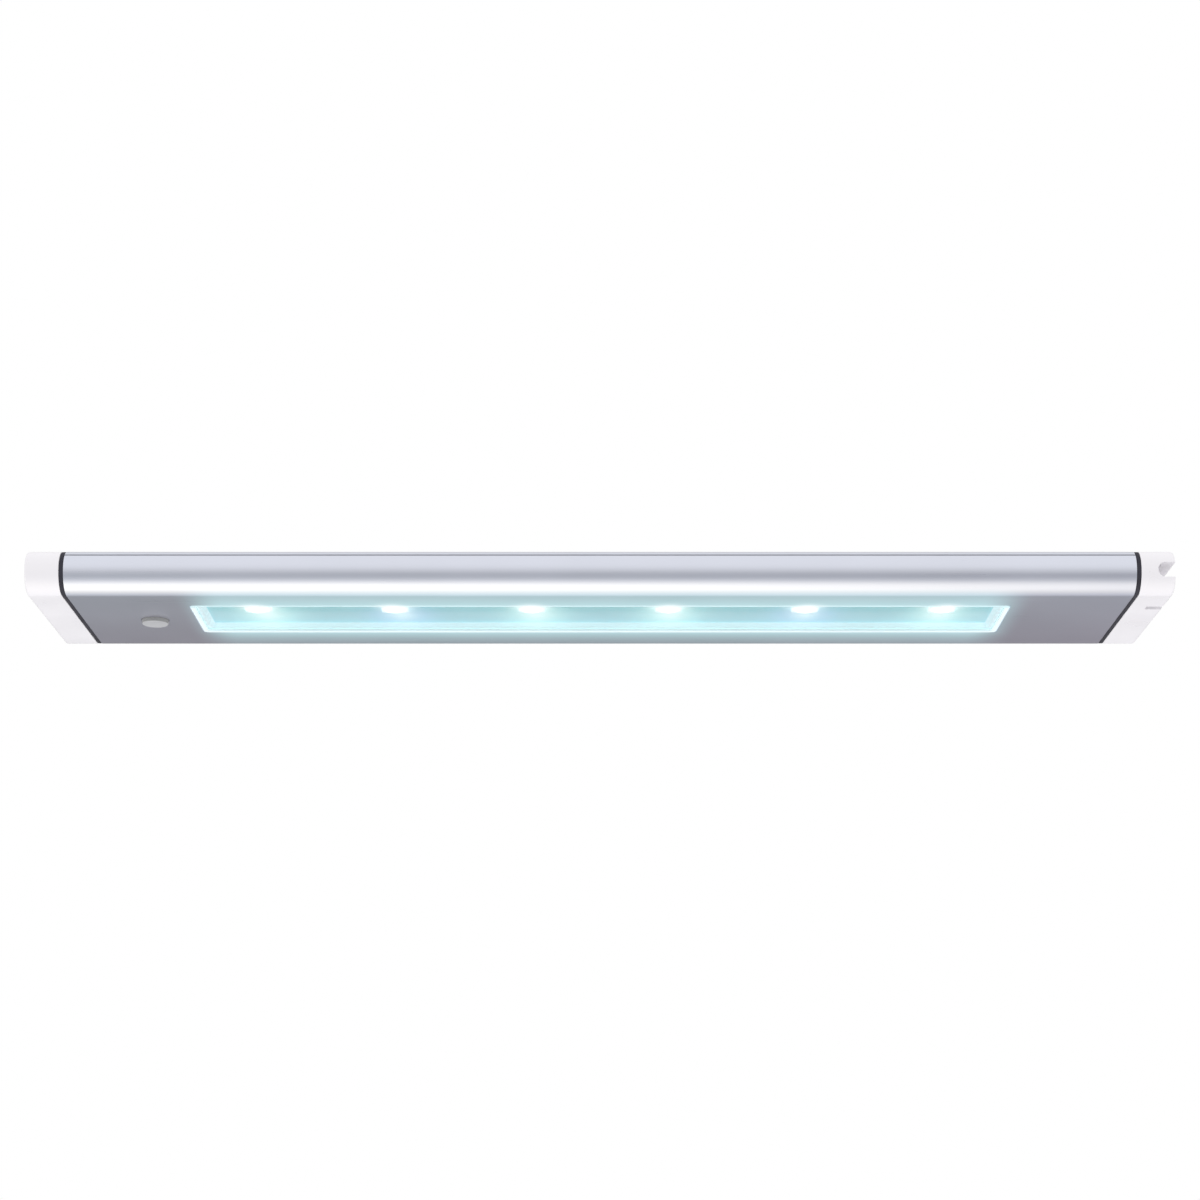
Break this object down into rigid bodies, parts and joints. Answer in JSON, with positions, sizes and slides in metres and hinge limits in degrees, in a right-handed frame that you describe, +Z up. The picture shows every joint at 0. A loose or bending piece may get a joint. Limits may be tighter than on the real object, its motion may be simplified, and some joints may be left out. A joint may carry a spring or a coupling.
{
  "type": "led light bar",
  "caption": "Slim sealed LED light bar: satin aluminium body with a lit window below, white end caps, a round push button and a finned slotted top it is fixed by.",
  "frame": {"origin": "centre of the flat land on top of the bar, the face it is fixed by", "axes": "+X along the bar towards the end with the cable channel, +Y towards the rear edge (the front edge in the picture is at -Y), +Z up, away from the lit underside"},
  "size_m": [0.31, 0.0638, 0.0143],
  "materials": {
    "anodised_body": "satin clear anodised extrusion with a fine grain along its length",
    "anodised_cover": "satin clear anodised extrusion, finned",
    "white_plastic": "white moulded plastic, fine satin texture",
    "gasket_rubber": "dark grey rubber, matt",
    "screw_steel": "plated steel, machined",
    "bezel_plastic": "white translucent moulding",
    "clear_lens": "clear polished cover",
    "silicone_seal": "grey silicone, matt",
    "led_board_white": "white solder mask, satin",
    "thermal_silicone": "soft filled silicone, matt",
    "led_cyan": "clear domed light source, lit cyan white",
    "led_violet": "clear domed light source, lit blue violet",
    "board_green": "green solder mask, satin",
    "button_plastic": "light grey moulded plastic, satin",
    "black_plastic": "black moulded plastic",
    "plunger_plastic": "dark moulded plastic",
    "ferrite": "pressed ferrite, matt",
    "capacitor_body": "ochre moulded resin",
    "contact_brass": "bright plated contact",
    "lead_red": "red wire insulation",
    "lead_black": "black wire insulation",
    "lead_white": "white wire insulation"
  },
  "bodies": {
    "housing": {"lower_housing": "anodised_body", "top_heat_sink": "anodised_cover", "left_end_cap": "white_plastic", "right_end_cap": "white_plastic", "left_gasket": "gasket_rubber", "right_gasket": "gasket_rubber", "button_seal": "gasket_rubber", "inlet_seal": "gasket_rubber", "left_cap_screw_front": "screw_steel", "left_cap_screw_rear": "screw_steel", "right_cap_screw_front": "screw_steel", "right_cap_screw_rear": "screw_steel", "led_board_screw_1": "screw_steel", "led_board_screw_2": "screw_steel", "led_board_screw_3": "screw_steel", "led_board_screw_4": "screw_steel", "controller_screw_front": "screw_steel", "controller_screw_rear": "screw_steel", "inlet_nut": "screw_steel", "window_bezel": "bezel_plastic", "window_lens": "clear_lens", "window_seal": "silicone_seal", "led_board": "led_board_white", "thermal_pad": "thermal_silicone", "led_cluster_1": "led_cyan", "led_cluster_3": "led_cyan", "led_cluster_4": "led_cyan", "led_cluster_6": "led_cyan", "led_cluster_2": "led_violet", "led_cluster_5": "led_violet", "controller_board": "board_green", "switch_body": "black_plastic", "driver_chip": "black_plastic", "control_chip": "black_plastic", "inlet_shell": "black_plastic", "power_inductor": "ferrite", "input_capacitor": "capacitor_body", "inlet_pin": "contact_brass", "power_lead_positive": "lead_red", "power_lead_negative": "lead_black", "led_lead_1": "lead_white", "led_lead_2": "lead_white", "led_lead_3": "lead_white"},
    "button": {"button_cap": "button_plastic"},
    "plunger": {"switch_plunger": "plunger_plastic"}
  },
  "joints": [
    {"name": "button_press", "type": "slide", "parent": "housing", "child": "button", "axis": [0, 0, 1], "range_m": [0, 0.0005], "stiffness_N_per_m": 1800, "springref_m": -0.0002},
    {"name": "plunger_press", "type": "slide", "parent": "housing", "child": "plunger", "axis": [0, 0, 1], "range_m": [0, 0.0005]}
  ],
  "couplings": [
    {"joint": "plunger_press", "follows": "button_press", "ratio": 1}
  ]
}
